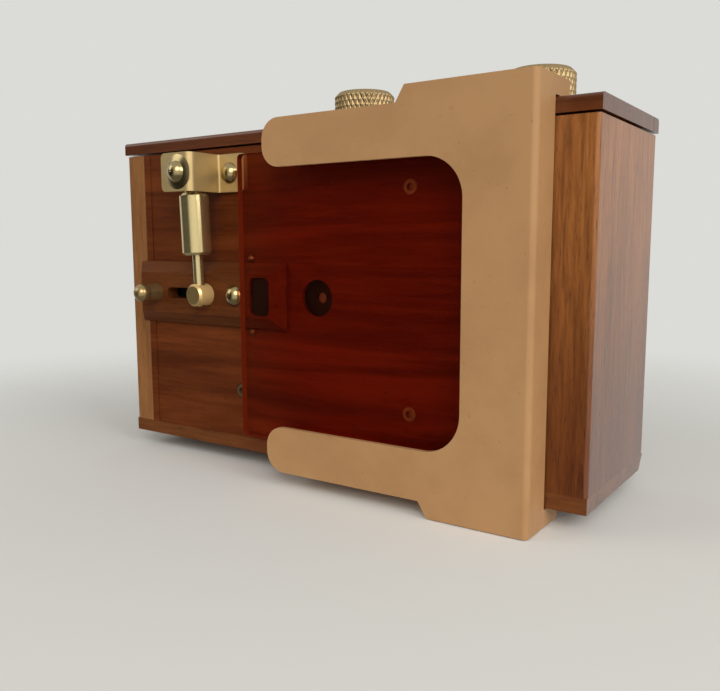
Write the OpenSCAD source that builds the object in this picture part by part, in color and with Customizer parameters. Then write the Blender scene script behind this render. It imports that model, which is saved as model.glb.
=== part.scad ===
// Wooden roll-film pinhole camera with a snap shutter and a clip-on filter holder.
// Millimetres. X runs to the right, Y to the back, Z up.
// The origin is the mouth of the tripod bush, in the middle of the box's underside.

/* [Film and chamber] */
// Side of the square picture on the film
gate_w = 56; // [50:0.5:58]
// Diameter of a film spool's flanges
flange_d = 25; // [22:0.5:28]
// Diameter of a film spool's core
core_d = 11.5; // [10:0.5:16]
// Length of a film spool over its flanges
spool_len = 65.5; // [62:0.5:72]
// Thickness of a spool's flange
flange_t = 1.6; // [1:0.1:2.5]
// Wall of the light chamber beside the picture
chamber_wall = 2.2; // [1.6:0.1:4]
// Free space between a spool's flange and the light chamber
bay_inner_clear = 0.8; // [0.4:0.1:3]
// Free space between a spool's flange and the side board
bay_outer_clear = 1; // [0.4:0.1:3]
// Free space between a spool's flange and the front board
bay_front_clear = 2.3; // [1.8:0.1:4]
// Free space between a spool's flange and the back board
bay_back_clear = 2.5; // [1.5:0.1:4]
// Height of the shoulder that a spool stands on
spool_seat = 1.2; // [0.8:0.1:2]
// Room above a spool, to lift it off its lower pin
spool_head = 3.1; // [2.9:0.1:5]
// Space for the film between the light chamber and the back board
film_gap = 2.6; // [1.6:0.1:4]

/* [Box] */
// Thickness of the top board
top_t = 3; // [2.5:0.1:5]
// Thickness of the bottom board
bottom_t = 3.2; // [2.5:0.1:5]
// Thickness of the front board
front_t = 4; // [3.5:0.1:6]
// Thickness of a side board's wall
side_t = 5; // [4:0.1:8]
// Thickness of the back board
back_t = 4; // [3:0.1:6]
// Width of a side board's front stile
stile_w = 8.5; // [7:0.1:12]
// Depth of a side board's front stile
stile_d = 5.5; // [4.4:0.1:6]
// Dark gap between the walls and the top board
shadow_gap = 0.4; // [0.2:0.1:1]
// Overhang of the top board at the front and the ends
top_lip = 0.4; // [0:0.1:1]
// Depth of the front board behind the stiles
panel_set = 0.2; // [0:0.1:1]
// Step in each side board that the back board's edge lies in
rebate_w = 2; // [1:0.1:3]
// Clearance round the back board
back_clear = 0.2; // [0.1:0.05:0.5]
// Bevel along the rear edge of the underside
rear_bevel = 2.5; // [1:0.1:4]
// Rounding of the long edges of the boards
edge_r = 0.8; // [0.4:0.1:1.2]

/* [Pinhole] */
// Diameter of the round recess in front of the pinhole
recess_d = 8.3; // [6:0.1:10]
// Diameter of the pinhole
pinhole_d = 0.3; // [0.2:0.05:0.5]
// Diameter of the foil disc and its ring
foil_d = 10.6; // [9:0.1:14]
// Hole in the ring that holds the foil
ring_hole_d = 2.4; // [1.5:0.1:4]
// Thickness of the board behind the front that holds the foil
pinhole_board_t = 3; // [2:0.1:4]
// Distance of the board's screws from the sides of the picture
board_screw_side = 4.2; // [3:0.1:6]
// Distance of the board's screws from the top and foot of the picture
board_screw_foot = 4.5; // [3:0.1:6]
// Head diameter of the board's screws
board_screw_d = 3.4; // [2.4:0.1:3.6]

/* [Shutter] */
// Travel of the blade from open to shut
travel = 12.5; // [11:0.1:14]
// Height of the slotted plate
plate_h = 15.4; // [15:0.1:18]
// Thickness of the slotted plate
plate_t = 3.4; // [2.5:0.1:4]
// Bevel round the face of the slotted plate
plate_bevel = 2.7; // [1:0.1:2.9]
// Distance from the recess to the plate's right end
plate_gap = 4.05; // [2:0.05:6]
// Distance from the plate's right end to the dark inlay
inlay_margin = 2.9; // [2.8:0.1:6]
// Width of the dark inlay
inlay_w = 5.9; // [4:0.1:7]
// Height of the dark inlay
inlay_h = 8.8; // [6:0.1:10]
// Distance from the inlay to the plate's screw
inlay_to_screw = 5.1; // [3.4:0.1:6]
// Distance from the plate's screw to the slot
screw_to_slot = 7.5; // [6:0.1:10]
// Distance from the slot to the finger post
slot_to_finger = 3.85; // [3.8:0.05:6]
// Distance from the finger post to the plate's left end
finger_to_end = 8.35; // [6:0.05:10]
// Diameter of the finger post's ball
finger_d = 4.4; // [3.6:0.1:5.2]
// Height of the finger post in front of the plate
finger_reach = 6.8; // [5.6:0.1:9]
// Width of the plate's slot
slot_w = 2.7; // [2.6:0.1:3.2]
// Diameter of the stud's shank
shank_d = 2.2; // [1.8:0.1:2.4]
// Diameter of the cross-drilled stud
stud_d = 5.3; // [4.6:0.1:5.4]
// Height of the stud's face in front of the box
stud_reach = 8; // [7.8:0.1:9]
// Height of the blade
blade_h = 13; // [11:0.1:14]
// Thickness of the blade
blade_t = 0.5; // [0.3:0.05:0.7]
// Wood left in front of the blade, whose groove lies in the back of the front board
front_skin = 0.8; // [0.6:0.05:1.2]
// How far the shut blade covers past the recess
cover_lap = 1.5; // [0.5:0.1:3]
// Outer diameter of the blade's bush
bush_d = 4.2; // [3.8:0.1:5]

/* [Spring link] */
// Height of the pivot above the slot
link_drop = 28.6; // [27.6:0.1:30]
// How far the open stud stands past the pivot's dead centre
pivot_lead = 1.2; // [0.8:0.1:1.6]
// Distance of the link's axis in front of the box
link_h = 5.7; // [5.4:0.1:6]
// Diameter of the tube
tube_d = 7; // [6.2:0.1:7.2]
// Diameter of the tube's eye at the pivot
eye_d = 4.8; // [4.4:0.1:5.2]
// Length of the tube from the pivot to its mouth
tube_len = 19.2; // [18:0.1:21]
// Bore of the tube
tube_bore = 4.6; // [4.4:0.1:4.8]
// Length of the narrow neck at the tube's mouth
neck_len = 3; // [2:0.1:4]
// Diameter of the rod
rod_d = 2.5; // [2:0.1:2.7]
// Clearance between the rod and the neck, which lets the link swing
rod_play = 0.5; // [0.45:0.05:0.6]
// Length of the rod's tip beyond the stud
rod_tip = 3; // [2.6:0.1:5]
// Wire diameter of the spring
wire_d = 0.5; // [0.3:0.05:0.6]
// Number of turns of the spring
spring_turns = 5; // [4:1:6]
// Width of the bracket
bracket_w = 8.8; // [7.8:0.1:9.2]
// Thickness of the bracket's strip
bracket_t = 1.2; // [1:0.1:1.6]
// Length of the bracket's land beyond the pivot
land_reach = 5.35; // [4.4:0.05:7]
// Length of the bracket's foot
foot_len = 9.45; // [8.6:0.05:11]
// Head diameter of the pivot screw
pivot_head_d = 8; // [6:0.1:8.4]
// Shank diameter of the pivot screw
pivot_d = 3; // [2.5:0.1:3.4]
// Head diameter of the small dome screws
dome_d = 5; // [4:0.1:5.4]

/* [Knobs] */
// Diameter of a knob
knob_d = 14; // [12:0.5:18]
// Height of a knob
knob_h = 8.3; // [7:0.1:12]
// Chamfer of a knob's rims
knob_chamfer = 1; // [0.5:0.1:1.5]
// Diameter of the winding shaft
shaft_d = 5; // [4.6:0.1:6]
// Diameter of the lock screw
lock_d = 4; // [3.5:0.1:5]
// Thickness of the washer under a knob
washer_t = 0.5; // [0.3:0.1:1]
// Width of the winding key's blade
key_w = 8; // [7:0.1:9]
// Thickness of the winding key's blade
key_t = 1.6; // [1.2:0.1:2]
// Depth of the key in the spool
key_depth = 3.8; // [3:0.1:4.4]

/* [Back] */
// Half the width of the brass tongue
tongue_half = 6; // [5:0.1:8]
// Thickness of the tongue
tongue_t = 1.2; // [0.8:0.1:1.4]
// Length of the tongue past the lock screw
tongue_reach = 6; // [5:0.1:8]
// Diameter of the red counting window
red_d = 11; // [8:0.5:13]
// Thickness of the red counting window
red_t = 1.5; // [1:0.1:2]
// Sideways place of the red counting window
red_x = 14; // [0:0.5:18]
// Height of the swing cover's pivot above the window
cover_drop = 11; // [10:0.5:14]
// Thickness of the swing cover
cover_t = 1.2; // [0.8:0.1:2]

/* [Filter holder] */
// Side of the square filter
filter_s = 63.5; // [62:0.1:67]
// Thickness of the filter
filter_t = 1.8; // [1.2:0.1:2.2]
// How deep the filter lies in each arm
filter_bite = 3.45; // [2.5:0.05:5]
// How deep the filter lies in front of each arm's rear ledge
ledge_bite = 0.8; // [0.5:0.05:3]
// Thickness of the lip in front of the filter
lip_t = 1.1; // [0.8:0.1:1.6]
// Play of the filter in its slot
filter_play = 0.15; // [0.1:0.05:0.3]
// Height of the holder's face in front of the box
holder_reach = 8.7; // [8.4:0.1:11]
// Distance from the box's right end to the holder
holder_inset = 8; // [6:0.1:12]
// Width of the holder's upright bar
bar_w = 14; // [12:0.1:18]
// Wall of the bar beyond the filter
bar_wall = 6.7; // [3:0.05:9]
// Length of the arms from the bar
arm_len = 48; // [40:0.5:50]
// How far the arms stand above and below the box
arm_over = 0.5; // [0.2:0.1:1.5]
// Rounding of the arms' ends
arm_r = 4.4; // [3:0.1:4.7]
// Rounding of the window's corners
window_r = 8; // [4:0.1:12]
// Thickness of the clips that grip the box
clip_t = 3.4; // [2.4:0.1:5]
// Depth of the clips over the box
clip_reach = 6.5; // [4:0.1:10]
// Clearance between the clips and the box
clip_gap = 0.3; // [0.15:0.05:0.5]
// Length of the upper clip along the box
upper_clip_len = 26.5; // [18:0.5:30]
// Length of the lower clip along the box
lower_clip_len = 21; // [14:0.5:30]
// Slant at the start of each clip
clip_slant = 2; // [1:0.1:4]
// Rounding of the holder's outer front edge
holder_edge_r = 1.2; // [0.6:0.1:2]

/* [Mount] */
// Wall diameter of the tripod thread, the minor diameter of 1/4 inch by 20
tripod_d = 5.1; // [4.9:0.05:5.3]
// Outer diameter of the tripod bush
tripod_bush_d = 9.5; // [8:0.1:12]
// Length of the tripod bush
tripod_len = 8; // [6:0.1:8.6]

/* [Hidden] */
$fn = 64;
wood = "#6f3b22";
wood_pale = "#a9794a";
black = "#1c1a19";
brass = "#c8a24a";
steel = "#b9bcc0";
tan_plastic = "#b08a5c";
red_clear = "#b3122bcc";

// Clearances
run = 0.06;      // radial, of a shaft that turns in a hole
seat = 0.1;      // radial, of a fixed piece in its hole
free = 0.3;      // between faces that pass each other
eps = 0.05;      // overshoot of a cut
skin = 0.6;      // wood left behind a blind hole

// Small stock
screw_d = 2;         // shank of the small wood screws
brad_shank_d = 1;    // shank of the brads
fine_screw_d = 1.4;  // shank of the finest screws
fine_head_d = 2;     // head of the finest screws
fine_head_t = 0.5;   // thickness of that head
peg_d = 4;           // tail of a spool pin
peg_skin = 0.8;      // wood left beyond that tail
bush_wall = 1.5;     // wall of the winding bush
bush_flange = 2;     // flange beyond that wall
clip_th = 0.7;       // width of the groove for the shaft's clip
flange_h = 1;        // thickness of the tripod bush's flange
flange_w = 1.5;      // width of the tripod bush's flange
ring_t = 0.4;        // thickness of the ring over the foil
foil_t = 0.3;        // thickness of the foil

// Box
spool_x = gate_w / 2 + chamber_wall + bay_inner_clear + flange_d / 2;
half_w = spool_x + flange_d / 2 + bay_outer_clear + side_t;
box_h = bottom_t + spool_seat + spool_len + spool_head + top_t;
box_d = panel_set + front_t + bay_front_clear + flange_d + bay_back_clear + back_t;
y_front = -box_d / 2;
y_panel = y_front + panel_set;
y_inner = y_panel + front_t;
y_back = box_d / 2;
y_seat = y_back - back_t;
spool_y = y_inner + bay_front_clear + flange_d / 2;
z_roof = box_h - top_t;
z_wall = z_roof - shadow_gap;
mid_z = box_h / 2;
panel_half = half_w - stile_w;
chamber_half = gate_w / 2 + chamber_wall;
y_film = y_seat - film_gap;
board_screw_x = gate_w / 2 - board_screw_side;
board_screw_z = gate_w / 2 - board_screw_foot;
sink_t = 1.4;
head_sink = 0.1;
hollow_t = 0.9;
head_slope = (board_screw_d - screw_d - 2 * seat) / sink_t;
board_screws = [[board_screw_x, board_screw_z], [board_screw_x, -board_screw_z],
    [-board_screw_x, -board_screw_z]];

// Slotted plate, from the recess to the left
plate_x1 = -(recess_d / 2 + plate_gap);
inlay_x1 = plate_x1 - inlay_margin;
inlay_x0 = inlay_x1 - inlay_w;
plate_screw_x = inlay_x0 - inlay_to_screw;
slot_x1 = plate_screw_x - screw_to_slot;
post_x = slot_x1 - free - shank_d / 2;
slot_x0 = post_x - travel - shank_d / 2 - free;
finger_x = slot_x0 - slot_to_finger;
plate_x0 = finger_x - finger_to_end;
plate_y = y_front - plate_t;
inlay_floor = 1;
inlay_sink = 0.6;
brad_d = 1.7;
brad_x = inlay_x0 - 2.2;
brad_z = plate_h / 2 + brad_d / 2 + seat;

// Blade in its groove
groove_d = front_t - front_skin;
blade_gap = 0.2;
blade_y0 = y_panel + front_skin + blade_gap;
blade_y1 = blade_y0 + blade_t;
boss_y = blade_y1 + blade_gap;
foil_y = boss_y + seat + ring_t;
peg_y = y_panel + front_skin / 2;
blade_tail = bush_d / 2 + 2.4;
blade_x0 = post_x - blade_tail;
blade_x1 = recess_d / 2 + cover_lap + travel;
groove_h = blade_h + 2 * free;
groove_x0 = blade_x0 - travel - free;
groove_x1 = blade_x1 + free;
bush_y0 = y_panel + free;
tail_d = shank_d + 0.8;
tail_t = 0.5;
keeper_t = 1;
keeper_h = groove_h + 6;
keeper_x0 = groove_x0 - 2.4;
keeper_x1 = -chamber_half - free;
keeper_x = (keeper_x0 + keeper_x1) / 2;
keeper_z = (keeper_h + groove_h) / 4;

// Spring link
pivot_x = post_x - pivot_lead;
pivot_z = mid_z + link_drop;
link_y = y_front - link_h;
rest_tilt = atan(pivot_lead / link_drop);
link_len = sqrt(pivot_lead * pivot_lead + link_drop * link_drop);
shut_len = sqrt(pow(travel - pivot_lead, 2) + link_drop * link_drop);
rod_head_d = tube_bore - 2 * rod_play;
rod_head_t = 1.4;
rod_top = tube_len - neck_len - (shut_len - link_len) - rod_head_t - 1;
spring_d = tube_bore - 2 * free;
land_gap = 0.15;
bracket_z0 = pivot_z - bracket_w / 2;
bracket_z1 = bracket_z0 + bracket_w;
tube_top = pivot_z - bracket_z0 + free;
shoulder = 0.6;
bore_top = tube_top + 2 * shoulder;
web_x0 = pivot_x + eye_d / 2 + free;
foot_x1 = web_x0 + foot_len;
foot_screw_x = web_x0 + bracket_t + 3 * free + dome_d / 2;
land_y = link_y - tube_d / 2 - land_gap;
spacer_d = pivot_d + 2.4;
dome_h = 1.8;

// Knobs, winding and lock
knob_z = box_h + washer_t + 2 * seat;
knob_bore = 0.75 * knob_h;
spool_z = bottom_t + spool_seat + seat;
spool_top = spool_z + spool_len - 2 * seat;
pin_d = 4.8;
pin_tip = 2;
hub_d = pin_d + 4 * run;
tongue_z = z_roof - 0.6 - tongue_t;
channel_z = tongue_z - 0.6;
lock_x = 0;
lock_y = 0;
tongue_y0 = lock_y - tongue_reach;
tongue_leg = 3.6;
leg_screw_x = 0.6 * tongue_half;
leg_screw_z = tongue_z - fine_head_d / 2 - seat;
insert_d = lock_d + 3;
insert_z = mid_z + gate_w / 2 + 0.4;

// Red window in the back
red_lip = 1;
cover_pad = 2;
cover_y = y_back + 0.2;

// Filter holder
holder_y1 = y_front - top_lip - back_clear;
holder_y0 = y_front - holder_reach;
holder_x1 = half_w - holder_inset;
bar_x0 = holder_x1 - bar_w;
arm_x0 = bar_x0 - arm_len;
window_half = filter_s / 2 - filter_bite;
ledge_half = filter_s / 2 - ledge_bite;
holder_top = box_h + arm_over;
clip_top = box_h + clip_gap + clip_t;
clip_bottom = -clip_gap - clip_t;
filter_x1 = holder_x1 - bar_wall - filter_play;
filter_y0 = holder_y0 + lip_t + filter_play;

// A box between two corners
module block(low, high) {
    translate(low) cube(high - low);
}

// A flat outline in X and Z, carried forward from y_start by depth
module forward(y_start, depth) {
    translate([0, y_start, 0]) rotate([90, 0, 0]) linear_extrude(depth) children();
}

// A round bar along Y from y0 (front) to y1 (back)
module bar_y(x, z, y0, y1, d) {
    translate([x, y1, z]) rotate([90, 0, 0]) cylinder(h = y1 - y0, d = d);
}

// A profile in Y and Z, carried along X from x0 to x1
module along_x(x0, x1) {
    translate([x0, 0, 0]) rotate([90, 0, 90]) linear_extrude(x1 - x0) children();
}

// A slot with round ends, between the centres xa and xb
module slot_outline(xa, xb, w) {
    translate([xa, mid_z - w / 2]) square([xb - xa, w]);
    for (x = [xa, xb]) translate([x, mid_z]) circle(d = w);
}

// A rectangle with round corners
module round_rect(low, high, r) {
    translate([low[0] + r, low[1]]) square([high[0] - low[0] - 2 * r, high[1] - low[1]]);
    translate([low[0], low[1] + r]) square([high[0] - low[0], high[1] - low[1] - 2 * r]);
    for (x = [low[0] + r, high[0] - r], y = [low[1] + r, high[1] - r]) translate([x, y]) circle(r);
}

// A low dome on the plane y = y_base, swelling forward
module dome_y(x, z, y_base, d, h) {
    ball_r = (d * d / 4 + h * h) / (2 * h);
    translate([x, y_base, z]) rotate([90, 0, 0]) intersection() {
        translate([0, 0, h - ball_r]) sphere(ball_r);
        translate([-d, -d, 0]) cube([2 * d, 2 * d, 2 * h]);
    }
}

// A dome screw: its head stands on y_base and its shank ends at y_end
module dome_screw(x, z, y_base, y_end, d, h, shank) {
    dome_y(x, z, y_base, d, h);
    bar_y(x, z, y_base - h / 2, y_end, shank);
}

// What hangs from the pivot, along the link's own axis
module on_link() {
    translate([pivot_x, link_y, pivot_z]) rotate([0, -rest_tilt, 0]) children();
}

// A round length of the link, from one distance below the pivot to another
module link_bar(from, to, d) {
    on_link() translate([0, 0, -to]) cylinder(h = to - from, d = d);
}

module front_board() {
    color(wood) difference() {
        block([-panel_half, y_panel, bottom_t], [panel_half, y_inner, z_wall]);
        bar_y(0, mid_z, y_panel - eps, y_inner + eps, recess_d);
        block([groove_x0, y_inner - groove_d, mid_z - groove_h / 2],
              [groove_x1, y_inner + eps, mid_z + groove_h / 2]);
        forward(y_inner, front_t + eps)
            slot_outline(post_x - travel - free, post_x + free, bush_d + 2 * free);
        for (at = board_screws) {
            bar_y(at[0], mid_z + at[1], y_panel - eps, y_inner + eps, screw_d + 2 * seat);
            sink(at, 0, board_screw_d, screw_d + 2 * seat);
        }
        bar_y(pivot_x, pivot_z, y_panel - eps, y_inner - skin, pivot_d + 2 * seat);
        bar_y(foot_screw_x, pivot_z, y_panel - eps, y_inner - skin, screw_d + 2 * seat);
        for (x = [plate_screw_x, finger_x])
            bar_y(x, mid_z, y_panel - eps, peg_y, screw_d + 2 * seat);
        for (s = [-1, 1]) {
            bar_y(brad_x, mid_z + s * brad_z, y_panel - eps, y_inner - skin, brad_shank_d + 2 * seat);
            bar_y(keeper_x, mid_z + s * keeper_z, y_inner - front_t / 2, y_inner + eps, fine_screw_d + 2 * seat);
        }
    }
}

// A cone for a sunk screw head, from a depth behind the panel's face to the foot of the countersink
module sink(at, depth, d1, d2) {
    translate([at[0], y_panel + depth, mid_z + at[1]]) rotate([-90, 0, 0])
        cylinder(h = sink_t - depth, d1 = d1, d2 = d2);
}

// Side board: a wall with a stile at the front and a step for the back board
module side_outline() {
    difference() {
        union() {
            translate([half_w - side_t, y_front]) square([side_t, box_d]);
            translate([panel_half, y_front]) square([stile_w, stile_d]);
        }
        translate([half_w - side_t - eps, y_seat]) square([rebate_w + eps, back_t + eps]);
        for (y = [y_front, y_back]) translate([half_w, y]) edge_cut(edge_r, y < 0 ? 90 : 180);
    }
}

// What rounds a square corner off: the corner lies at the origin, and turn points it outwards
module edge_cut(r, turn) {
    rotate(turn) difference() {
        translate([-eps, -eps]) square(r + eps);
        translate([r, r]) circle(r);
    }
}

module side_board() {
    translate([0, 0, bottom_t]) linear_extrude(z_wall - bottom_t) side_outline();
}

module right_side_board() {
    color(wood) side_board();
}

module left_side_board() {
    color(wood_pale) mirror([1, 0, 0]) side_board();
}

module bottom_board() {
    color(wood) difference() {
        along_x(-half_w, half_w) polygon([[y_front, 0], [y_back - rear_bevel, 0],
            [y_back, bottom_t - 0.2], [y_back, bottom_t], [y_front, bottom_t]]);
        translate([0, 0, -eps]) cylinder(h = bottom_t + 2 * eps, d = tripod_bush_d + 2 * seat);
        translate([0, 0, -eps]) cylinder(h = flange_h + eps, d = tripod_bush_d + 2 * flange_w + 2 * seat);
        for (s = [-1, 1])
            translate([s * spool_x, spool_y, peg_skin]) cylinder(h = bottom_t, d = peg_d + 2 * seat);
    }
}

module top_board() {
    color(wood) difference() {
        along_x(-half_w - top_lip, half_w + top_lip) difference() {
            translate([y_front - top_lip, z_roof]) square([y_seat - back_clear - y_front + top_lip, top_t]);
            translate([y_front - top_lip, box_h]) edge_cut(edge_r, -90);
        }
        translate([spool_x, spool_y, z_roof - eps])
            cylinder(h = top_t + 1, d = shaft_d + 2 * bush_wall + 2 * seat);
        translate([-spool_x, spool_y, z_roof - eps]) cylinder(h = top_t - peg_skin, d = peg_d + 2 * seat);
        translate([lock_x, lock_y, z_roof - eps]) cylinder(h = top_t + 1, d = lock_d + 4 * seat);
    }
}

// Light chamber: four walls round the picture, with round edges where the film turns
module light_chamber() {
    color(black) difference() {
        union() {
            block([-chamber_half, y_inner, bottom_t], [chamber_half, y_film - chamber_wall / 2, z_roof]);
            for (s = [-1, 1]) translate([s * (gate_w + chamber_wall) / 2, y_film - chamber_wall / 2, bottom_t])
                cylinder(h = z_roof - bottom_t, d = chamber_wall);
        }
        block([-gate_w / 2, y_inner - eps, mid_z - gate_w / 2], [gate_w / 2, y_film + eps, mid_z + gate_w / 2]);
        block([-tongue_half - 2 * free, tongue_y0 - 2 * free, channel_z],
              [tongue_half + 2 * free, y_film + eps, z_roof + eps]);
        translate([0, 0, bottom_t - eps]) cylinder(h = tripod_len - bottom_t + seat, d = tripod_bush_d + 2 * seat);
        translate([lock_x, lock_y, insert_z]) cylinder(h = box_h - insert_z, d = insert_d + 2 * seat);
    }
}

// Pinhole board: it fills the blade's groove from behind and carries the foil close to the blade
module pinhole_board() {
    half = gate_w / 2 - seat;
    boss_half = groove_h / 2 - seat;
    color(black) difference() {
        union() {
            block([-half, y_inner, mid_z - half], [half, y_inner + pinhole_board_t, mid_z + half]);
            block([-half, boss_y, mid_z - boss_half], [groove_x1 - seat, y_inner + eps, mid_z + boss_half]);
        }
        bar_y(0, mid_z, boss_y - eps, foil_y + foil_t, foil_d + 2 * seat);
        translate([0, y_inner + pinhole_board_t + eps, mid_z]) rotate([90, 0, 0])
            cylinder(h = y_inner + pinhole_board_t + eps - foil_y, d1 = foil_d + 2, d2 = foil_d - 3);
        for (at = board_screws)
            bar_y(at[0], mid_z + at[1], y_inner - eps, y_inner + pinhole_board_t + eps, screw_d + 2 * seat);
    }
}

module pinhole_foil() {
    color(brass) difference() {
        bar_y(0, mid_z, foil_y, foil_y + foil_t, foil_d);
        bar_y(0, mid_z, foil_y - 1, foil_y + 1, pinhole_d);
    }
}

module pinhole_ring() {
    color(black) difference() {
        bar_y(0, mid_z, foil_y - ring_t, foil_y, foil_d);
        bar_y(0, mid_z, foil_y - 1, foil_y + 1, ring_hole_d);
    }
}

// Sunk heads with a hollow for the driver
module pinhole_board_screws() {
    head_d = board_screw_d - head_slope * head_sink - 2 * seat;
    color(brass) for (at = board_screws) difference() {
        union() {
            sink(at, head_sink, head_d, screw_d);
            bar_y(at[0], mid_z + at[1], y_panel + sink_t - seat, y_inner + pinhole_board_t - 2 * seat, screw_d);
        }
        bar_y(at[0], mid_z + at[1], y_panel, y_panel + head_sink + hollow_t, head_d / 2);
    }
}

module tripod_bush() {
    color(brass) difference() {
        union() {
            cylinder(h = tripod_len, d = tripod_bush_d);
            cylinder(h = flange_h, d = tripod_bush_d + 2 * flange_w);
        }
        translate([0, 0, -eps]) cylinder(h = tripod_len + 2 * eps, d = tripod_d);
    }
}

module lock_insert() {
    color(brass) difference() {
        translate([lock_x, lock_y, insert_z + seat]) cylinder(h = channel_z - insert_z - seat, d = insert_d);
        translate([lock_x, lock_y, insert_z]) cylinder(h = box_h - insert_z, d = lock_d + 2 * run);
    }
}

// Lower pins: a tail in the bottom board, a shoulder, and a tip in the spool's hub
module spool_pins() {
    color(brass) for (s = [-1, 1]) translate([s * spool_x, spool_y, 0]) {
        translate([0, 0, peg_skin + seat]) cylinder(h = bottom_t, d = peg_d);
        translate([0, 0, bottom_t]) cylinder(h = spool_seat, d = core_d - 2);
        translate([0, 0, bottom_t]) cylinder(h = spool_seat + pin_tip, d = pin_d);
    }
}

module film_top_pin() {
    tip = spool_head + key_depth;
    color(brass) translate([-spool_x, spool_y, 0]) {
        translate([0, 0, z_roof - fine_head_t]) cylinder(h = fine_head_t, d = core_d - 2);
        translate([0, 0, z_roof - fine_head_t]) cylinder(h = top_t - peg_skin + fine_head_t - seat, d = peg_d);
        translate([0, 0, z_roof - tip]) cylinder(h = tip, d = pin_d);
    }
}

module winding_bush() {
    color(brass) translate([spool_x, spool_y, 0]) difference() {
        union() {
            translate([0, 0, z_roof]) cylinder(h = top_t, d = shaft_d + 2 * bush_wall);
            translate([0, 0, box_h]) cylinder(h = washer_t, d = shaft_d + 2 * bush_wall + 2 * bush_flange);
        }
        translate([0, 0, z_roof - 1]) cylinder(h = top_t + 3, d = shaft_d + 2 * run);
    }
}

// Slotted plate: bevelled all round its face
module shutter_plate() {
    color(wood) difference() {
        intersection() {
            along_x(plate_x0, plate_x1) bevelled(y_front, mid_z - plate_h / 2, mid_z + plate_h / 2);
            translate([0, 0, mid_z - plate_h]) linear_extrude(2 * plate_h) mirror([1, -1])
                bevelled(y_front, plate_x0, plate_x1);
        }
        forward(y_front + eps, plate_t + 2 * eps)
            slot_outline(slot_x0 + slot_w / 2, slot_x1 - slot_w / 2, slot_w);
        forward(y_front - inlay_floor, plate_t) inlay_outline(0);
        for (x = [plate_screw_x, finger_x]) bar_y(x, mid_z, plate_y - 1, y_front + 1, screw_d + 2 * seat);
    }
}

// The plate's section, from its back y to its face, between two sides
module bevelled(y, low, high) {
    polygon([[y, low], [y - plate_t + plate_bevel, low], [y - plate_t, low + plate_bevel],
        [y - plate_t, high - plate_bevel], [y - plate_t + plate_bevel, high], [y, high]]);
}

module inlay_outline(inset) {
    round_rect([inlay_x0 + inset, mid_z - inlay_h / 2 + inset], [inlay_x1 - inset, mid_z + inlay_h / 2 - inset],
               inlay_w / 4);
}

module plate_inlay() {
    color(black) forward(y_front - inlay_floor, plate_t - inlay_floor - inlay_sink) inlay_outline(seat);
}

module plate_screw() {
    color(brass) dome_screw(plate_screw_x, mid_z, plate_y, peg_y - seat, dome_d, dome_h, screw_d);
}

module plate_brads() {
    color(brass) for (s = [-1, 1])
        dome_screw(brad_x, mid_z + s * brad_z, y_panel, y_inner - skin - seat, brad_d, brad_d / 2, brad_shank_d);
}

// Finger post: a ball on a broad cone
module finger_post() {
    ball_y = plate_y - finger_reach + finger_d / 2;
    color(brass) {
        translate([finger_x, ball_y, mid_z]) sphere(d = finger_d);
        translate([finger_x, plate_y, mid_z]) rotate([90, 0, 0])
            cylinder(h = plate_y - ball_y, d1 = 1.05 * finger_d, d2 = 0.75 * finger_d);
        bar_y(finger_x, mid_z, plate_y - 1, peg_y - seat, screw_d);
    }
}

// Keeper: a plate with a rib that fills the blade's groove from behind
module blade_keeper() {
    rib_half = groove_h / 2 - seat;
    color(black) difference() {
        union() {
            block([keeper_x0, y_inner, mid_z - keeper_h / 2], [keeper_x1, y_inner + keeper_t, mid_z + keeper_h / 2]);
            block([groove_x0 + seat, boss_y, mid_z - rib_half], [keeper_x1, y_inner + eps, mid_z + rib_half]);
        }
        for (s = [-1, 1]) bar_y(keeper_x, mid_z + s * keeper_z, y_inner - 1, y_inner + 2, fine_screw_d + 2 * seat);
    }
}

module keeper_screws() {
    color(steel) for (s = [-1, 1]) fine_screw(keeper_x, mid_z + s * keeper_z, y_inner + keeper_t,
        y_inner - front_t / 2 + seat);
}

// A fine flat-headed screw: its head stands on y_base, facing the back, and its shank ends at y_end
module fine_screw(x, z, y_base, y_end) {
    bar_y(x, z, y_base, y_base + fine_head_t, fine_head_d);
    bar_y(x, z, y_end, y_base + fine_head_t / 2, fine_screw_d);
}

// Bracket seen from above: foot on the panel, web, and land in front of the tube
module bracket_profile() {
    bend = bracket_t + 0.6;
    land_x0 = pivot_x - land_reach;
    web_x1 = web_x0 + bracket_t;
    translate([land_x0, land_y - bracket_t]) square([web_x1 - bend - land_x0, bracket_t]);
    translate([web_x0, land_y - bracket_t + bend]) square([bracket_t, y_panel - land_y + bracket_t - 2 * bend]);
    translate([web_x0 + bend, y_panel - bracket_t]) square([foot_x1 - web_x0 - bend, bracket_t]);
    translate([web_x1 - bend, land_y - bracket_t + bend]) bend_quarter(bend, -90);
    translate([web_x0 + bend, y_panel - bend]) bend_quarter(bend, 90);
}

// A quarter of a bent strip, with the bend's centre at the origin
module bend_quarter(r, turn) {
    rotate(turn) intersection() {
        difference() {
            circle(r);
            circle(r - bracket_t);
        }
        square(r + 1);
    }
}

module shutter_bracket() {
    color(brass) difference() {
        intersection() {
            translate([0, 0, bracket_z0]) linear_extrude(bracket_w) bracket_profile();
            forward(y_inner, link_h + tube_d + 10)
                round_rect([pivot_x - land_reach, bracket_z0], [foot_x1, bracket_z1], 1.2);
        }
        bar_y(pivot_x, pivot_z, land_y - bracket_t - 1, land_y + 1, pivot_d + 2 * seat);
        bar_y(foot_screw_x, pivot_z, y_panel - bracket_t - 1, y_panel + 1, screw_d + 2 * seat);
    }
}

module bracket_screw() {
    color(brass) dome_screw(foot_screw_x, pivot_z, y_panel - bracket_t, y_inner - skin - seat, dome_d, dome_h,
                            screw_d);
}

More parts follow.
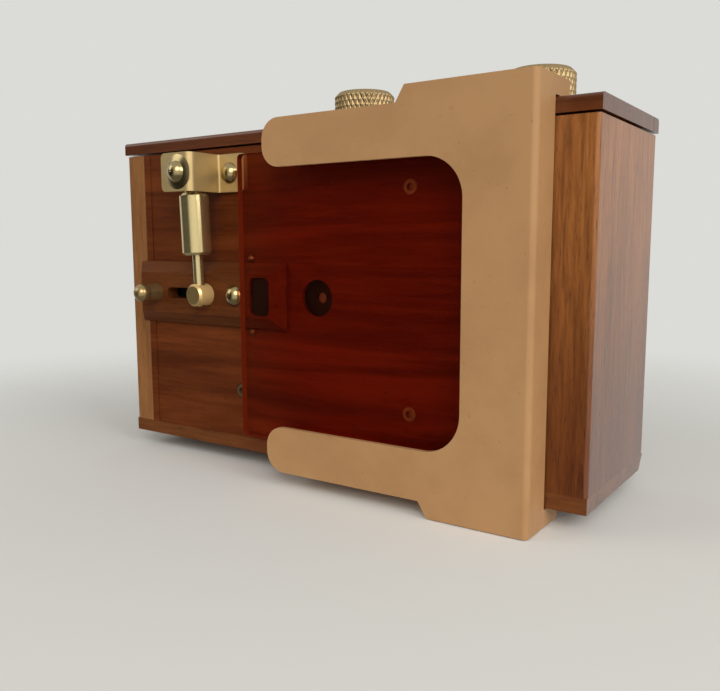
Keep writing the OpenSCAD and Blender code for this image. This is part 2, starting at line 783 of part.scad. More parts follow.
// Pivot screw: a dome on a broad low collar
module pivot_screw() {
    collar_h = 0.8;
    color(brass) {
        dome_screw(pivot_x, pivot_z, land_y - bracket_t, y_inner - skin - seat, pivot_head_d, collar_h, pivot_d);
        dome_y(pivot_x, pivot_z, land_y - bracket_t - collar_h / 2, 0.62 * pivot_head_d, dome_h);
    }
}

module pivot_spacer() {
    color(brass) difference() {
        bar_y(pivot_x, pivot_z, link_y + tube_d / 2 + land_gap, y_panel, spacer_d);
        bar_y(pivot_x, pivot_z, link_y, y_panel + 1, pivot_d + 2 * seat);
    }
}

// Blade: clear of the recess when open, solid over it when shut
module shutter_blade() {
    color(black) difference() {
        block([blade_x0, blade_y0, mid_z - blade_h / 2], [blade_x1, blade_y1, mid_z + blade_h / 2]);
        bar_y(0, mid_z, blade_y0 - 1, blade_y1 + 1, recess_d + 0.8);
        bar_y(post_x, mid_z, blade_y0 - 1, blade_y1 + 1, bush_d + 2 * seat);
    }
}

module blade_bush() {
    color(brass) difference() {
        bar_y(post_x, mid_z, bush_y0, blade_y1, bush_d);
        bar_y(post_x, mid_z, bush_y0 - 1, blade_y1 + 1, shank_d + 2 * run);
        bar_y(post_x, mid_z, blade_y1 - tail_t - seat, blade_y1 + 1, tail_d + 2 * run);
    }
}

// Stud: cross-drilled head, shank through the slot, and a riveted tail behind the bush
module swivel_stud() {
    head_y = plate_y - 0.2;
    face_y = y_front - stud_reach;
    color(brass) difference() {
        union() {
            bar_y(post_x, mid_z, face_y + 0.5, head_y, stud_d);
            translate([post_x, face_y + 0.5, mid_z]) rotate([90, 0, 0])
                cylinder(h = 0.5, d1 = stud_d, d2 = stud_d - 1);
            bar_y(post_x, mid_z, head_y - 1, blade_y1 - seat, shank_d);
            bar_y(post_x, mid_z, blade_y1 - tail_t, blade_y1 - seat, tail_d);
        }
        link_bar(link_len - stud_d, link_len + stud_d, rod_d + 2 * seat);
    }
}

module plunger_rod() {
    color(brass) {
        link_bar(rod_top, link_len + rod_tip - rod_d / 2, rod_d);
        link_bar(rod_top, rod_top + rod_head_t, rod_head_d);
        on_link() translate([0, 0, -link_len - rod_tip + rod_d / 2]) sphere(d = rod_d);
    }
}

// Tube: an eye across the pivot, a neck, the bore for the spring, and a narrow mouth
module piston_tube() {
    r = tube_d / 2;
    neck_r = eye_d / 2 - free;
    hole_r = rod_d / 2 + rod_play;
    mouth_z = neck_len - tube_len;
    color(brass) difference() {
        union() {
            bar_y(pivot_x, pivot_z, link_y - r, link_y + r, eye_d);
            on_link() rotate_extrude() polygon([[0, 0], [neck_r, 0], [neck_r, -tube_top],
                [r - shoulder, -tube_top], [r, -tube_top - shoulder], [r, shoulder - tube_len],
                [r - shoulder, -tube_len], [hole_r, -tube_len], [hole_r, mouth_z], [tube_bore / 2, mouth_z],
                [tube_bore / 2, -bore_top], [0, -bore_top]]);
        }
        bar_y(pivot_x, pivot_z, link_y - tube_d, link_y + tube_d, pivot_d + 2 * run);
    }
}

// Coil spring: one tube of six sides carried along a helix
coil_sides = 6;
coil_rings = 8;
coil_top = bore_top + wire_d / 2 + seat;
coil_end = rod_top - wire_d / 2 - seat;
coil_r = (spring_d - wire_d) / 2;
coil_count = spring_turns * coil_rings;
coil_gap = (coil_end - coil_top) / spring_turns - wire_d;
echo(least_gap_between_coils = coil_gap);
function coil_point(i, j) =
    let (turn = 360 * i / coil_rings, side = 360 * j / coil_sides, r = coil_r + wire_d / 2 * cos(side))
    [r * cos(turn), r * sin(turn), -coil_top - (coil_end - coil_top) * i / coil_count + wire_d / 2 * sin(side)];

module piston_spring() {
    points = [for (i = [0:coil_count], j = [0:coil_sides - 1]) coil_point(i, j)];
    walls = [for (i = [0:coil_count - 1], j = [0:coil_sides - 1])
        let (a = i * coil_sides + j, b = i * coil_sides + (j + 1) % coil_sides)
        each [[a, b, b + coil_sides], [a, b + coil_sides, a + coil_sides]]];
    last = coil_count * coil_sides;
    ends = [for (j = [1:coil_sides - 2]) each [[0, j + 1, j], [last, last + j, last + j + 1]]];
    color(steel) on_link() polyhedron(points, concat(walls, ends));
}

// Knob: a plain turned head with chamfered rims
module knob(x, y, bore_d) {
    r = knob_d / 2;
    translate([x, y, knob_z]) difference() {
        rotate_extrude() polygon([[0, 0], [r - knob_chamfer, 0], [r, knob_chamfer],
            [r, knob_h - knob_chamfer], [r - knob_chamfer, knob_h], [0, knob_h]]);
        translate([0, 0, -eps]) cylinder(h = knob_bore + eps, d = bore_d + seat);
    }
}

module winding_knob() {
    color(brass) knob(spool_x, spool_y, shaft_d);
}

// Shaft: a stem down through the bush, and a flat key in the spool's end
module winding_shaft() {
    z0 = spool_top - key_depth;
    color(steel) translate([spool_x, spool_y, 0]) difference() {
        union() {
            translate([0, 0, spool_top + 0.4]) cylinder(h = knob_z + knob_bore - 0.3 - spool_top - 0.4, d = shaft_d);
            translate([0, 0, z0]) cylinder(h = spool_top - z0 + 1, d = pin_d);
            block([-key_w / 2, -key_t / 2, z0], [key_w / 2, key_t / 2, spool_top + 0.4]);
        }
        translate([0, 0, z_roof - 0.3 - clip_th]) ring_cut(shaft_d - 1, clip_th);
    }
}

// A groove round a shaft, down to a smaller diameter
module ring_cut(d, h) {
    difference() {
        cylinder(h = h, d = 3 * d);
        translate([0, 0, -1]) cylinder(h = h + 2, d = d);
    }
}

module shaft_clip() {
    color(steel) translate([spool_x, spool_y, z_roof - 0.25 - clip_th]) difference() {
        cylinder(h = clip_th - 0.1, d = shaft_d + 3);
        translate([0, 0, -1]) cylinder(h = 3, d = shaft_d - 1 + seat);
        block([-shaft_d / 2 + 0.4, 0, -1], [shaft_d / 2 - 0.4, shaft_d, 2]);
    }
}

module take_up_spool() {
    len = spool_top - spool_z;
    color(black) translate([spool_x, spool_y, spool_z]) difference() {
        union() {
            cylinder(h = len, d = core_d);
            for (z = [0, len - flange_t]) translate([0, 0, z]) cylinder(h = flange_t, d = flange_d);
        }
        translate([0, 0, -eps]) cylinder(h = pin_tip + 2, d = hub_d);
        translate([0, 0, len - key_depth - 0.4]) cylinder(h = key_depth + 1, d = hub_d);
        translate([0, 0, len - key_depth - 0.4])
            block([-key_w / 2 - seat, -key_t / 2 - seat, 0], [key_w / 2 + seat, key_t / 2 + seat, key_depth + 1]);
        block([-core_d, -0.6, 8], [core_d, 0.6, len - 8]);
    }
}

module lock_knob() {
    color(brass) knob(lock_x, lock_y, lock_d);
}

module lock_screw() {
    z0 = insert_z + 0.4;
    color(steel) translate([lock_x, lock_y, z0]) cylinder(h = knob_z + knob_bore - 0.3 - z0, d = lock_d);
}

module lock_washer() {
    color(brass) translate([lock_x, lock_y, box_h + 0.1]) difference() {
        cylinder(h = washer_t, d = knob_d - 2 * knob_chamfer);
        translate([0, 0, -1]) cylinder(h = 3, d = lock_d + 2 * seat);
    }
}

// Back board: a panel between the side boards, with a head as wide as the top board
module back_board() {
    half = half_w - side_t + rebate_w - back_clear;
    color(wood) difference() {
        union() {
            block([-half, y_seat, bottom_t + back_clear], [half, y_back, z_roof + eps]);
            block([-half_w - top_lip, y_seat, z_roof], [half_w + top_lip, y_back, box_h]);
        }
        along_x(-2 * half_w, 2 * half_w) translate([y_back, box_h]) edge_cut(edge_r, 180);
        bar_y(red_x, mid_z, y_seat - 1, y_back + 1, red_d - 2 * red_lip);
        bar_y(red_x, mid_z, y_seat - 1, y_seat + red_t + seat, red_d + 2 * seat);
        bar_y(red_x, mid_z + cover_drop, y_seat + peg_skin, y_back + 1, screw_d + 2 * seat);
        for (s = [-1, 1]) bar_y(s * leg_screw_x, leg_screw_z, y_seat - 1, y_back - peg_skin, fine_screw_d + 2 * seat);
    }
}

// Tongue: a forked plate round the lock screw, with a leg screwed to the back board
module locking_tongue() {
    fork_w = lock_d + 2 * free;
    color(brass) difference() {
        union() {
            block([-tongue_half, tongue_y0, tongue_z], [tongue_half, y_seat, tongue_z + tongue_t]);
            block([-tongue_half, y_seat - tongue_t, tongue_z + tongue_t - tongue_leg],
                  [tongue_half, y_seat, tongue_z + tongue_t]);
        }
        translate([lock_x, lock_y, tongue_z - 1]) cylinder(h = tongue_t + 2, d = fork_w);
        block([lock_x - fork_w / 2, tongue_y0 - 1, tongue_z - 1], [lock_x + fork_w / 2, lock_y, tongue_z + tongue_t + 1]);
        for (s = [-1, 1])
            bar_y(s * leg_screw_x, leg_screw_z, y_seat - tongue_t - 1, y_seat + 1, fine_screw_d + 2 * seat);
    }
}

module tongue_screws() {
    color(steel) for (s = [-1, 1]) mirror([0, 1, 0])
        fine_screw(s * leg_screw_x, leg_screw_z, tongue_t - y_seat, seat + peg_skin - y_back);
}

module red_window() {
    color(red_clear) bar_y(red_x, mid_z, y_seat, y_seat + red_t, red_d);
}

// Swing cover: a disc over the window, hung from a screw above it
module window_cover() {
    arm_w = 7;
    color(brass) difference() {
        forward(cover_y + cover_t, cover_t) {
            translate([red_x, mid_z]) circle(d = red_d + 2 * cover_pad);
            translate([red_x, mid_z + cover_drop]) circle(d = arm_w);
            translate([red_x - arm_w / 2, mid_z]) square([arm_w, cover_drop]);
        }
        bar_y(red_x, mid_z + cover_drop, y_back - 1, y_back + cover_t + 1, screw_d + 2 * run);
    }
}

module cover_screw() {
    color(brass) translate([red_x, cover_y + cover_t + land_gap, mid_z + cover_drop]) rotate([180, 0, 0]) {
        dome_y(0, 0, 0, dome_d, 0.75 * dome_h);
        bar_y(0, 0, -dome_h / 3, cover_t + back_t - peg_skin - 2 * seat, screw_d);
    }
}

// Holder's face: an upright bar with two arms and stepped clips, round a window open to the left
module holder_outline() {
    difference() {
        union() {
            translate([arm_x0 + arm_r, -arm_over]) square([holder_x1 - arm_x0 - arm_r, box_h + 2 * arm_over]);
            arm_end(mid_z + window_half, holder_top);
            arm_end(-arm_over, mid_z - window_half);
            polygon([[holder_x1 - upper_clip_len - clip_slant, holder_top - eps],
                [holder_x1 - upper_clip_len, clip_top], [holder_x1, clip_top], [holder_x1, holder_top - eps]]);
            polygon([[holder_x1 - lower_clip_len - clip_slant, eps - arm_over],
                [holder_x1 - lower_clip_len, clip_bottom], [holder_x1, clip_bottom], [holder_x1, eps - arm_over]]);
        }
        window_outline();
    }
}

// The round left end of an arm between two heights
module arm_end(low, high) {
    round_rect([arm_x0, low], [arm_x0 + 2 * arm_r + eps, high], arm_r);
}

module window_outline() {
    translate([arm_x0 - 1, mid_z - window_half]) square([bar_x0 - window_r - arm_x0 + 1, 2 * window_half]);
    translate([arm_x0, mid_z - window_half + window_r])
        square([bar_x0 - arm_x0, 2 * (window_half - window_r)]);
    for (s = [-1, 1]) translate([bar_x0 - window_r, mid_z + s * (window_half - window_r)]) circle(window_r);
}

module filter_holder() {
    color(tan_plastic) difference() {
        union() {
            forward(holder_y1, holder_y1 - holder_y0) holder_outline();
            block([holder_x1 - upper_clip_len, holder_y1 - 1, box_h + clip_gap],
                  [holder_x1, y_front + clip_reach, clip_top]);
            block([holder_x1 - lower_clip_len, holder_y1 - 1, clip_bottom],
                  [holder_x1, y_front + clip_reach, -clip_gap]);
        }
        block([arm_x0 - 1, filter_y0 - filter_play, mid_z - filter_s / 2 - filter_play],
              [filter_x1 + filter_play, filter_y0 + filter_t + filter_play, mid_z + filter_s / 2 + filter_play]);
        block([arm_x0 - 1, filter_y0 + filter_t, mid_z - ledge_half], [bar_x0, holder_y1 + eps, mid_z + ledge_half]);
        translate([holder_x1, holder_y0, -box_h]) linear_extrude(3 * box_h) edge_cut(holder_edge_r, 90);
    }
}

module red_filter() {
    color(red_clear) forward(filter_y0 + filter_t, filter_t) round_rect([filter_x1 - filter_s, mid_z - filter_s / 2],
        [filter_x1, mid_z + filter_s / 2], 1);
}

front_board();
left_side_board();
right_side_board();
bottom_board();
top_board();
light_chamber();
pinhole_board();
pinhole_foil();
pinhole_ring();
pinhole_board_screws();
tripod_bush();
lock_insert();
spool_pins();
film_top_pin();
winding_bush();
shutter_plate();
plate_inlay();
plate_screw();
plate_brads();
finger_post();
blade_keeper();
keeper_screws();
shutter_bracket();
bracket_screw();
pivot_screw();
pivot_spacer();
shutter_blade();
blade_bush();
swivel_stud();
plunger_rod();
piston_tube();
piston_spring();
winding_knob();
winding_shaft();
shaft_clip();
take_up_spool();
lock_knob();
lock_screw();
lock_washer();
back_board();
locking_tongue();
tongue_screws();
red_window();
cover_screw();
window_cover();
filter_holder();
red_filter();
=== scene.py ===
"""Looks of a wooden roll-film pinhole camera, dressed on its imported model.

Metres, in the part's own frame: X to the right, Y to the back and Z up, with the
origin at the mouth of the tripod bush in the middle of the box's underside.
The patterns of the materials are in millimetres of the same frame.
"""

import logging
import math
from dataclasses import dataclass
from enum import Enum
from typing import ClassVar, Mapping, Sequence, Union

import bpy
import numpy as np
from mathutils import Matrix, Vector


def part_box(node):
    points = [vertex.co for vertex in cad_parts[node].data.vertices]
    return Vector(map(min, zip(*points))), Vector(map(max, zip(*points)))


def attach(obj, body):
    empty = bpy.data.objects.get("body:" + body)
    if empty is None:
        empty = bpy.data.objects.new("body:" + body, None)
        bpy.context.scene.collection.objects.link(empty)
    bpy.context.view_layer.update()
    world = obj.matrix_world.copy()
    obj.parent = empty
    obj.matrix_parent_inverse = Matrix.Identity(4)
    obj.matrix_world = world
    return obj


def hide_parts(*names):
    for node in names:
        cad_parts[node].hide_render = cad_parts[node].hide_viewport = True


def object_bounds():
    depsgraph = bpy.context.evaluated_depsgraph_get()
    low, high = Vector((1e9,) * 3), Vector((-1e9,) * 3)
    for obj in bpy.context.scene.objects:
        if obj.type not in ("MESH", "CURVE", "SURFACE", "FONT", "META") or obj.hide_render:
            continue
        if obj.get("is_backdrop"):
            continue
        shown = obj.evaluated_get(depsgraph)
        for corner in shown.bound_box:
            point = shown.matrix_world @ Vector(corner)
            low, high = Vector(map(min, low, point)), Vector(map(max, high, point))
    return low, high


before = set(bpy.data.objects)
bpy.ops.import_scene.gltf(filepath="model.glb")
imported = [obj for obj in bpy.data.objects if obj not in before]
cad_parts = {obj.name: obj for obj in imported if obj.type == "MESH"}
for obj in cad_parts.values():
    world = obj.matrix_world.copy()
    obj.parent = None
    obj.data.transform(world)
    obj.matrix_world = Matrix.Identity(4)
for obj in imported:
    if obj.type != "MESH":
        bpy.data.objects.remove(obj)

LOG = logging.getLogger("pinhole_camera")
MM = 0.001
TURN = 2 * math.pi
SHARP_ANGLE = math.radians(38.0)

Colour = tuple[float, float, float]
Place = tuple[float, float, float]
Direction = tuple[float, float, float]
Span = tuple[float, float]
Key = Union[str, int]

EVEN: Direction = (1.0, 1.0, 1.0)
RIGHTWARD: Direction = (1.0, 0.0, 0.0)
BACKWARD: Direction = (0.0, 1.0, 0.0)
UPWARD: Direction = (0.0, 0.0, 1.0)
DOWNWARD: Direction = (0.0, 0.0, -1.0)


class Signal:
    """One shader socket. Arithmetic on it adds Math nodes to its tree."""

    def __init__(self, tree: "Tree", socket: bpy.types.NodeSocket) -> None:
        """Keeps the socket and the tree that it belongs to."""
        self.tree = tree
        self.socket = socket

    def _math(self, operation: str, first: "Feed", second: "Feed") -> "Signal":
        """Adds a Math node and gives its result."""
        return self.tree.node("ShaderNodeMath", {"operation": operation}, {0: first, 1: second})

    def __add__(self, other: "Feed") -> "Signal":
        """This socket plus a number or socket."""
        return self._math("ADD", self, other)

    def __radd__(self, other: "Feed") -> "Signal":
        """A number plus this socket."""
        return self._math("ADD", other, self)

    def __sub__(self, other: "Feed") -> "Signal":
        """This socket less a number or socket."""
        return self._math("SUBTRACT", self, other)

    def __rsub__(self, other: "Feed") -> "Signal":
        """A number less this socket."""
        return self._math("SUBTRACT", other, self)

    def __mul__(self, other: "Feed") -> "Signal":
        """This socket times a number or socket."""
        return self._math("MULTIPLY", self, other)

    def __rmul__(self, other: "Feed") -> "Signal":
        """A number times this socket."""
        return self._math("MULTIPLY", other, self)

    def larger(self, other: "Feed") -> "Signal":
        """The larger of this socket and another."""
        return self._math("MAXIMUM", self, other)

    def dot(self, other: Sequence[float]) -> "Signal":
        """The dot product of this vector socket and a fixed vector."""
        settings = {"operation": "DOT_PRODUCT"}
        return self.tree.node("ShaderNodeVectorMath", settings, {0: self, 1: other}, output="Value")

    def step(self, low: float, high: float) -> "Signal":
        """A smooth step from 0 at low to 1 at high."""
        settings = {"interpolation_type": "SMOOTHSTEP"}
        return self.tree.node("ShaderNodeMapRange", settings, {0: self, 1: low, 2: high})


Feed = Union[Signal, float, Sequence[float]]


@dataclass(frozen=True)
class Noise:
    """One noise: cells in a millimetre, octaves, weight of the finer octaves, and its own bending."""

    scale: float
    detail: float
    roughness: float
    bend: float = 0.0


class Tree:
    """The nodes of one material or world."""

    END_ON: ClassVar[Span] = (0.2, 0.6)

    def __init__(self, owner: Union[bpy.types.Material, bpy.types.World]) -> None:
        """Starts the owner's nodes afresh.

        Args:
            owner: the material or world that the nodes belong to.
        """
        owner.use_nodes = True
        self.owner = owner
        self.nodes = owner.node_tree.nodes
        self.links = owner.node_tree.links
        self.nodes.clear()

    @classmethod
    def of_material(cls, name: str) -> "Tree":
        """Makes a new material and gives its empty tree."""
        return cls(bpy.data.materials.new(name))

    def node(
        self,
        kind: str,
        settings: Mapping[str, object] | None = None,
        inputs: Mapping[Key, Feed] | None = None,
        output: Key = 0,
    ) -> Signal:
        """Adds one node.

        Args:
            kind: the node's type.
            settings: its own settings, which are set first.
            inputs: values or links of its sockets, by name or number.
            output: the socket that is given back.

        Returns:
            The chosen output as a signal.
        """
        made = self.nodes.new(kind)
        for name, value in (settings or {}).items():
            setattr(made, name, value)
        for key, value in (inputs or {}).items():
            if isinstance(value, Signal):
                self.links.new(value.socket, made.inputs[key])
            else:
                made.inputs[key].default_value = value
        return Signal(self, made.outputs[output])

    def place(self, stretch: Sequence[float] = EVEN) -> Signal:
        """Object coordinates in millimetres, each axis divided by its stretch.

        Args:
            stretch: how much longer a pattern is along X, Y and Z.

        Returns:
            The place as a vector.
        """
        spot = self.node("ShaderNodeTexCoord", output="Object")
        scale = [1.0 / (MM * s) for s in stretch]
        return self.node("ShaderNodeVectorMath", {"operation": "MULTIPLY"}, {0: spot, 1: scale})

    def noise(self, vector: Signal, kind: Noise) -> Signal:
        """Noise from 0 to 1.

        Args:
            vector: where it is read.
            kind: its settings.

        Returns:
            The noise value.
        """
        values = {
            "Vector": vector,
            "Scale": kind.scale,
            "Detail": kind.detail,
            "Roughness": kind.roughness,
            "Distortion": kind.bend,
        }
        return self.node("ShaderNodeTexNoise", {"noise_dimensions": "3D"}, values)

    def mix(self, factor: Feed, first: Feed, second: Feed) -> Signal:
        """Mixes two colours, by the colour sockets of a Mix node: 6 and 7, and output 2."""
        values = {0: factor, 6: opaque(first), 7: opaque(second)}
        return self.node("ShaderNodeMix", {"data_type": "RGBA"}, values, output=2)

    def blend(self, factor: Signal, first: Signal, second: Signal) -> Signal:
        """Mixes two shaders."""
        return self.node("ShaderNodeMixShader", None, {0: factor, 1: first, 2: second})

    def is_ray(self, kind: str) -> Signal:
        """1 for rays of one kind, else 0."""
        return self.node("ShaderNodeLightPath", output=f"Is {kind} Ray")

    def end_on(self) -> Signal:
        """1 on faces that look along the Y axis, 0 on those that run along it."""
        square = self.node("ShaderNodeTexCoord", output="Normal").dot(BACKWARD)
        return (square * square).step(*self.END_ON)

    def bump(self, height: Signal, depth: float, strength: float) -> Signal:
        """A normal from a height of 0 to 1 over a depth in metres."""
        values = {"Strength": strength, "Distance": depth, "Height": height}
        return self.node("ShaderNodeBump", None, values)

    def surface(self, **inputs: Feed) -> Signal:
        """A Principled shader, with sockets named in words joined by underscores."""
        values = {name.replace("_", " "): value for name, value in inputs.items()}
        return self.node("ShaderNodeBsdfPrincipled", None, values)

    def wall(self, colour: Colour, strength: Feed) -> Signal:
        """A Background shader."""
        return self.node("ShaderNodeBackground", None, {"Color": opaque(colour), "Strength": strength})

    def end(self, shader: Signal) -> Union[bpy.types.Material, bpy.types.World]:
        """Joins the shader to the output.

        Args:
            shader: what the surface shows.

        Returns:
            The owner, finished.
        """
        is_world = isinstance(self.owner, bpy.types.World)
        kind = "ShaderNodeOutputWorld" if is_world else "ShaderNodeOutputMaterial"
        self.links.new(shader.socket, self.nodes.new(kind).inputs["Surface"])
        return self.owner


def opaque(colour: Feed) -> Feed:
    """A colour with full alpha, or a socket as it is."""
    return colour if isinstance(colour, Signal) else (*colour, 1.0)


class Grain(Enum):
    """The axis that a board's grain runs along, as stretches of X, Y and Z."""

    ACROSS = (13.0, 1.0, 1.0)
    UPRIGHT = (1.0, 1.0, 13.0)


@dataclass(frozen=True)
class Timber:
    """Oiled hardwood with bands, fine streaks and short dark pores along the grain.

    A second timber's colour past a start in mm along an axis is heartwood on a board that has some, and
    painted shade on a board drawn darker towards one end.
    """

    BANDS: ClassVar[Noise] = Noise(0.16, 3.0, 0.5, 0.9)
    FIBRES: ClassVar[Noise] = Noise(1.3, 5.0, 0.65, 0.3)
    LINES: ClassVar[Noise] = Noise(0.42, 4.0, 0.6, 1.4)
    DASHES: ClassVar[Noise] = Noise(2.6, 2.0, 0.5)
    DASH_STRETCH: ClassVar[float] = 0.55
    TONE_EDGE: ClassVar[Span] = (0.28, 0.72)
    LINE_EDGE: ClassVar[Span] = (0.52, 0.74)
    PORE_EDGE: ClassVar[Span] = (0.60, 0.72)
    ROUGHNESS: ClassVar[float] = 0.40
    FIBRE_ROUGHNESS: ClassVar[float] = 0.18
    PORE_ROUGHNESS: ClassVar[float] = 0.1
    OIL_ROUGHNESS: ClassVar[float] = 0.2
    FIBRE_HEIGHT: ClassVar[float] = 0.4
    RELIEF: ClassVar[float] = 0.06 * MM
    RELIEF_STRENGTH: ClassVar[float] = 0.55

    name: str
    dark: Colour
    pale: Colour
    streak: Colour
    grain: Grain = Grain.ACROSS
    streaks: float = 0.5
    pores: float = 0.55
    gloss: float = 0.08
    oil: float = 0.0
    fibre: float = 0.3
    heart_and_shade: "Timber | None" = None
    heart_and_shade_axis: Direction = RIGHTWARD
    heart_and_shade_start: float = 0.0
    heart_and_shade_blur: float = 0.3

    def figure(self, tree: Tree) -> tuple[Signal, Signal, Signal]:
        """Draws the grain.

        Bands are slow noise stretched along the grain, streaks are finer noise, and pores are
        fine noise cut at a high level, so that only short dashes are left.

        Args:
            tree: the material's nodes.

        Returns:
            The colour, the fibres and the pores.
        """
        spot = tree.place(self.grain.value)
        short_spot = tree.place([s * self.DASH_STRETCH for s in self.grain.value])
        bands = tree.noise(spot, self.BANDS)
        fibres = tree.noise(spot, self.FIBRES)
        lines = tree.noise(spot, self.LINES).step(*self.LINE_EDGE)
        pores = tree.noise(short_spot, self.DASHES).step(*self.PORE_EDGE)
        tone = (bands * (1.0 - self.fibre) + fibres * self.fibre).step(*self.TONE_EDGE)
        body = tree.mix(tone, self.dark, self.pale)
        marked = tree.mix(lines * self.streaks, body, self.streak)
        return tree.mix(pores * self.pores, marked, self.streak), fibres, pores

    def material(self) -> bpy.types.Material:
        """Builds the material, with a second timber past its start: heartwood on one board, painted shade on
        another.

        Returns:
            The finished material.
        """
        tree = Tree.of_material(self.name)
        colour, fibres, pores = self.figure(tree)
        # Past the start a second timber is laid: heartwood on the left stile, and painted shade on the right
        # board, darker towards the bottom.
        if self.heart_and_shade is not None:
            along = tree.place().dot(self.heart_and_shade_axis)
            inside = along.step(self.heart_and_shade_start, self.heart_and_shade_start + self.heart_and_shade_blur)
            heart_and_shade_colour, _, _ = self.heart_and_shade.figure(tree)
            colour = tree.mix(inside, colour, heart_and_shade_colour)
        relief = fibres * self.FIBRE_HEIGHT - pores
        return tree.end(tree.surface(
            Base_Color=colour,
            Roughness=self.ROUGHNESS + fibres * self.FIBRE_ROUGHNESS + pores * self.PORE_ROUGHNESS,
            Specular_IOR_Level=self.gloss,
            Coat_Weight=self.oil,
            Coat_Roughness=self.OIL_ROUGHNESS,
            Normal=tree.bump(relief, self.RELIEF, self.RELIEF_STRENGTH),
        ))


@dataclass(frozen=True)
class Brass:
    """Brass: bright metal with fine scuffs along its brushing and a little tarnish.

    A flank is the metal share of the faces that run along Y, where it differs from the end faces'.
    """

    CLOUD: ClassVar[Noise] = Noise(0.55, 4.0, 0.6, 0.4)
    SCUFF: ClassVar[Noise] = Noise(5.0, 3.0, 0.6)
    STAIN_EDGE: ClassVar[Span] = (0.5, 0.85)
    CLOUD_ROUGHNESS: ClassVar[float] = 0.08
    SCUFF_ROUGHNESS: ClassVar[float] = 0.06
    SCUFF_DEPTH: ClassVar[float] = 0.008 * MM

    name: str
    colour: Colour = (0.76, 0.60, 0.31)
    tarnish: Colour = (0.40, 0.28, 0.11)
    roughness: float = 0.12
    dullness: float = 0.3
    brush: Direction = EVEN
    metal: float = 1.0
    scuffs: float = 0.5
    flank: float | None = None

    def material(self) -> bpy.types.Material:
        """Builds the material: slow noise lays the tarnish, fast noise scuffs the polish.

        Returns:
            The finished material.
        """
        tree = Tree.of_material(self.name)
        cloud = tree.noise(tree.place(), self.CLOUD)
        scuff = tree.noise(tree.place(self.brush), self.SCUFF)
        stain = cloud.step(*self.STAIN_EDGE) * self.dullness
        metal = self.metal
        if self.flank is not None:
            metal = self.flank + tree.end_on() * (self.metal - self.flank)
        return tree.end(tree.surface(
            Base_Color=tree.mix(stain, self.colour, self.tarnish),
            Metallic=metal,
            Roughness=self.roughness + cloud * self.CLOUD_ROUGHNESS + scuff * self.SCUFF_ROUGHNESS,
            Normal=tree.bump(scuff, self.SCUFF_DEPTH, self.scuffs),
        ))


@dataclass(frozen=True)
class Steel:
    """Plain turned steel, a little scuffed."""

    SCUFF: ClassVar[Noise] = Noise(3.0, 3.0, 0.6)
    SCUFF_ROUGHNESS: ClassVar[float] = 0.15

    name: str
    colour: Colour = (0.58, 0.58, 0.59)
    roughness: float = 0.3

    def material(self) -> bpy.types.Material:
        """Builds the material: fast noise scuffs the polish.

        Returns:
            The finished material.
        """
        tree = Tree.of_material(self.name)
        scuff = tree.noise(tree.place(), self.SCUFF)
        return tree.end(tree.surface(
            Base_Color=opaque(self.colour),
            Metallic=1.0,
            Roughness=self.roughness + scuff * self.SCUFF_ROUGHNESS,
        ))


@dataclass(frozen=True)
class PrintedPlastic:
    """Matte plastic laid in fine layers, with stray pits and a slight mottle.

    Lengths are in mm. The unit wave is how long a wave of the layers' texture is at a scale of 1.
    """

    MOTTLE: ClassVar[Noise] = Noise(0.09, 4.0, 0.6)
    GRIT: ClassVar[Noise] = Noise(2.2, 3.0, 0.7)
    PITS: ClassVar[Noise] = Noise(0.8, 1.0, 0.5)
    MOTTLE_EDGE: ClassVar[Span] = (0.35, 0.7)
    MOTTLE_SHARE: ClassVar[float] = 0.5
    PIT_EDGE: ClassVar[Span] = (0.71, 0.75)
    PIT_SHARE: ClassVar[float] = 0.5
    UNIT_WAVE: ClassVar[float] = 0.31416
    WAVE_BEND: ClassVar[float] = 0.6
    WAVE_DETAIL: ClassVar[float] = 1.0
    ROUGHNESS: ClassVar[float] = 0.5
    GRIT_ROUGHNESS: ClassVar[float] = 0.15
    GLOSS: ClassVar[float] = 0.35
    LAYER_HEIGHT: ClassVar[float] = 0.5
    GRIT_HEIGHT: ClassVar[float] = 0.35
    RELIEF: ClassVar[float] = 0.05 * MM
    RELIEF_STRENGTH: ClassVar[float] = 0.6

    name: str
    colour: Colour
    darker_tone_and_pit_shade: Colour
    layer: float = 0.25

    def material(self) -> bpy.types.Material:
        """Builds the material.

        Layers are a sine along Y, mottle is slow noise, and pits are fine noise cut at a high level.

        Returns:
            The finished material.
        """
        tree = Tree.of_material(self.name)
        spot = tree.place()
        mottle = tree.noise(spot, self.MOTTLE).step(*self.MOTTLE_EDGE)
        grit = tree.noise(spot, self.GRIT)
        pits = tree.noise(spot, self.PITS).step(*self.PIT_EDGE)
        layers = tree.node(
            "ShaderNodeTexWave",
            {"wave_type": "BANDS", "bands_direction": "Y"},
            {
                "Vector": spot,
                "Scale": self.UNIT_WAVE / self.layer,
                "Distortion": self.WAVE_BEND,
                "Detail": self.WAVE_DETAIL,
            },
            output="Fac",
        )
        # The mottle mixes towards the darker tone at random.
        colour = tree.mix(mottle * self.MOTTLE_SHARE, self.colour, self.darker_tone_and_pit_shade)
        relief = layers * self.LAYER_HEIGHT + grit * self.GRIT_HEIGHT - pits
        return tree.end(tree.surface(
            # The pits take the darker tone as well as the bump's dip: painted shade in the hollows.
            Base_Color=tree.mix(pits * self.PIT_SHARE, colour, self.darker_tone_and_pit_shade),
            Roughness=self.ROUGHNESS + grit * self.GRIT_ROUGHNESS,
            Specular_IOR_Level=self.GLOSS,
            Normal=tree.bump(relief, self.RELIEF, self.RELIEF_STRENGTH),
        ))


